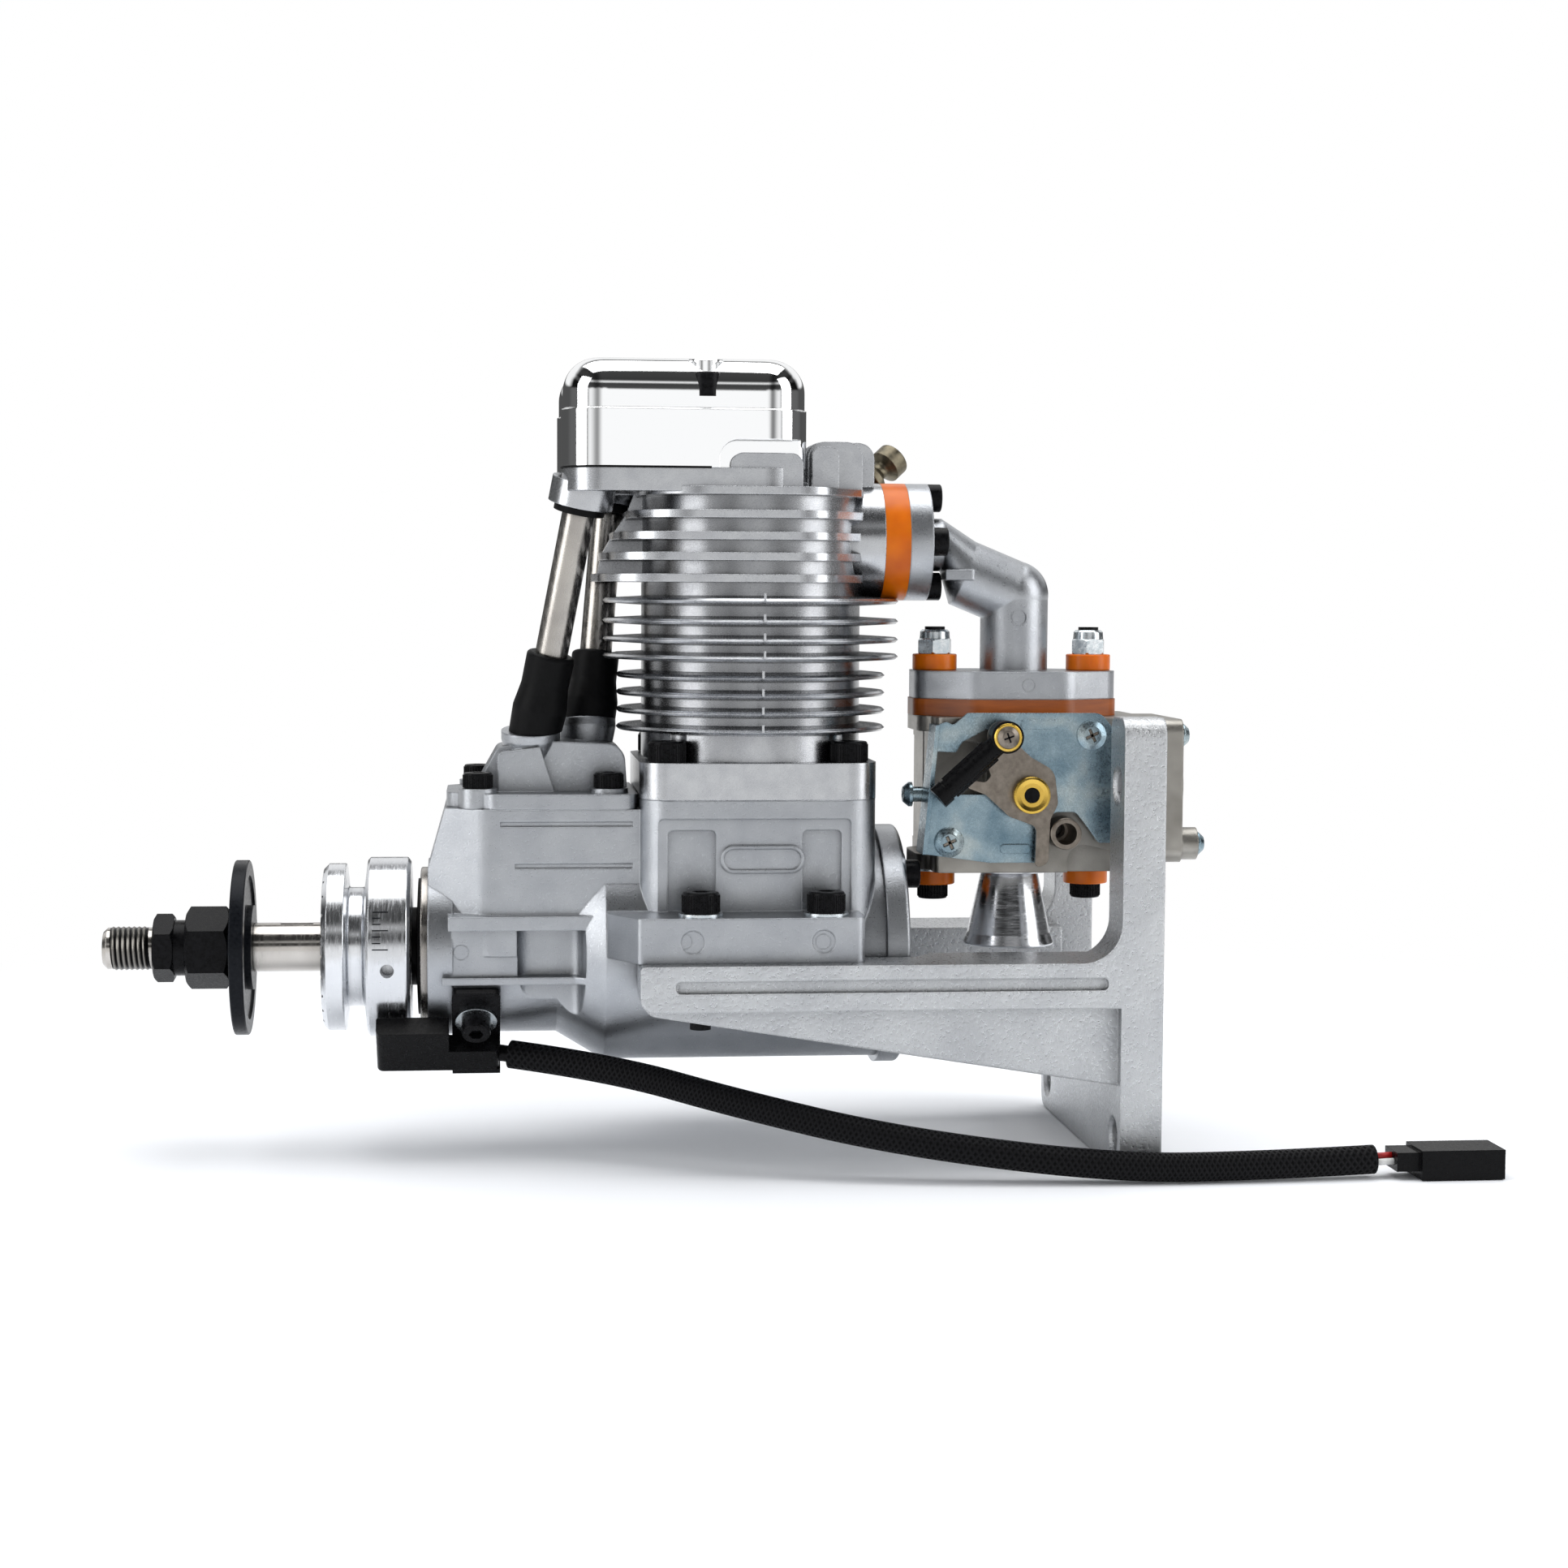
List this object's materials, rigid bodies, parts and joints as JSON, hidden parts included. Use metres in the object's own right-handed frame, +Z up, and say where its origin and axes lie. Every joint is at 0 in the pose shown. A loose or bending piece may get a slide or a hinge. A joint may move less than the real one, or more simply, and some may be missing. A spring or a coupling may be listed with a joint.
{
  "type": "model aircraft engine",
  "caption": "Single-cylinder four-stroke petrol engine for a model aircraft, with finned cylinder, chromed rocker covers, side carburettor and cast firewall mount.",
  "frame": {"origin": "centre of the four firewall holes, on the rear face of the mount", "axes": "+X from the propeller to the firewall along the crankshaft, +Z up the cylinder, +Y to the exhaust side"},
  "size_m": [0.2645, 0.0831, 0.1536],
  "materials": {
    "cast_alloy": "satin cast",
    "cylinder_alloy": "machined",
    "mount_alloy": "sand cast",
    "carb_alloy": "cast",
    "turned_alloy": "turned",
    "black_alloy": "black anodised",
    "black_steel": "black oxide",
    "ground_steel": "ground",
    "dark_steel": "stamped",
    "chrome": "polished",
    "amber_plastic": "satin",
    "zinc_plate": "zinc plated",
    "brass": "polished",
    "rubber": "matt",
    "gasket": "matt",
    "black_plastic": "satin",
    "braid": "braided",
    "wire_skin": "gloss"
  },
  "bodies": {
    "engine": {"bearings": "ground_steel", "bell_mouth": "turned_alloy", "cam_cover": "cast_alloy", "carb_body": "carb_alloy", "carb_bolts": "black_steel", "carb_bushes": "amber_plastic", "carb_insulator": "amber_plastic", "carb_plate": "zinc_plate", "carb_screws": "zinc_plate", "cover_screws": "black_steel", "crankcase": "cast_alloy", "cylinder": "cylinder_alloy", "cylinder_screws": "black_steel", "elbow_screws": "black_steel", "fuel_nipple": "dark_steel", "inlet_elbow": "cast_alloy", "lug_bolts": "black_steel", "mount": "mount_alloy", "port_insulator": "amber_plastic", "pump_cover": "carb_alloy", "pump_gasket": "gasket", "pushrod_tubes": "ground_steel", "rear_cover": "cast_alloy", "rocker_cover_ex": "chrome", "rocker_cover_in": "chrome", "rocker_cover_screws": "black_steel", "rocker_shafts": "ground_steel", "rubber_boots": "rubber", "sensor_body": "black_plastic", "sensor_bracket": "black_steel", "sensor_lead": "braid", "sensor_plug": "black_plastic", "sensor_wires": "wire_skin", "shaft_seal": "rubber", "spark_plug": "ground_steel", "spring_ex": "ground_steel", "spring_in": "ground_steel", "zinc_hardware": "zinc_plate"},
    "crank_train": {"crankshaft": "ground_steel", "drive_hub": "turned_alloy", "prop_washer": "black_alloy", "prop_nut": "black_steel", "lock_nut": "black_steel"},
    "cam_train": {"camshaft": "ground_steel"},
    "piston_group": {"piston": "turned_alloy", "wrist_pin": "ground_steel"},
    "rod_group": {"conrod": "turned_alloy", "crankpin": "ground_steel"},
    "inlet_lifter": {"lifter_in": "ground_steel"},
    "inlet_rocker": {"rocker_in": "ground_steel"},
    "inlet_valve": {"valve_in": "ground_steel"},
    "exhaust_lifter": {"lifter_ex": "ground_steel"},
    "exhaust_rocker": {"rocker_ex": "ground_steel"},
    "exhaust_valve": {"valve_ex": "ground_steel"},
    "throttle": {"throttle_shaft": "dark_steel", "throttle_lever": "dark_steel", "lever_nut": "brass"},
    "link": {"ball_link": "black_plastic"}
  },
  "joints": [
    {"name": "crank_spin", "type": "hinge", "parent": "engine", "child": "crank_train", "pos_m": [-0.09, 0, 0], "axis": [1, 0, 0], "continuous": true},
    {"name": "cam_spin", "type": "hinge", "parent": "engine", "child": "cam_train", "pos_m": [-0.115, 0, 0.0162], "axis": [1, 0, 0], "continuous": true},
    {"name": "piston_slide", "type": "slide", "parent": "engine", "child": "piston_group", "axis": [0, 0, -1], "range_m": [0, 0.022]},
    {"name": "rod_swing", "type": "hinge", "parent": "piston_group", "child": "rod_group", "pos_m": [-0.075, 0, 0.059], "axis": [1, 0, 0], "range_deg": [-13.2, 13.2]},
    {"name": "inlet_lift", "type": "slide", "parent": "engine", "child": "inlet_lifter", "axis": [0, -0.1753, 0.9845], "range_m": [0, 0.0028]},
    {"name": "inlet_rock", "type": "hinge", "parent": "engine", "child": "inlet_rocker", "pos_m": [-0.0905, -0.0135, 0.1004], "axis": [0, 1, 0], "range_deg": [0, 9.69]},
    {"name": "inlet_valve_slide", "type": "slide", "parent": "engine", "child": "inlet_valve", "axis": [0, 0.1908, -0.9816], "range_m": [0, 0.00215], "stiffness_N_per_m": 400, "springref_m": -0.005, "deforming": ["spring_in"]},
    {"name": "exhaust_lift", "type": "slide", "parent": "engine", "child": "exhaust_lifter", "axis": [0, 0.1753, 0.9845], "range_m": [0, 0.0028]},
    {"name": "exhaust_rock", "type": "hinge", "parent": "engine", "child": "exhaust_rocker", "pos_m": [-0.0905, 0.0135, 0.1004], "axis": [0, 1, 0], "range_deg": [0, 14.23]},
    {"name": "exhaust_valve_slide", "type": "slide", "parent": "engine", "child": "exhaust_valve", "axis": [0, -0.1908, -0.9816], "range_m": [0, 0.00316], "stiffness_N_per_m": 400, "springref_m": -0.005, "deforming": ["spring_ex"]},
    {"name": "throttle_turn", "type": "hinge", "parent": "engine", "child": "throttle", "pos_m": [-0.0227, 0, 0.031], "axis": [0, 1, 0], "range_deg": [0, 70]},
    {"name": "link_swivel", "type": "hinge", "parent": "throttle", "child": "link", "pos_m": [-0.0282, -0.02405, 0.0423], "axis": [0, 1, 0], "range_deg": [-30, 30]}
  ],
  "couplings": [
    {"joint": "cam_spin", "follows": "crank_spin", "ratio": -0.5},
    {"joint": "inlet_rock", "follows": "inlet_lift", "rad_per_m": 60.399},
    {"joint": "inlet_valve_slide", "follows": "inlet_lift", "ratio": 0.7691},
    {"joint": "exhaust_rock", "follows": "exhaust_lift", "rad_per_m": 88.694},
    {"joint": "exhaust_valve_slide", "follows": "exhaust_lift", "ratio": 1.1294}
  ]
}
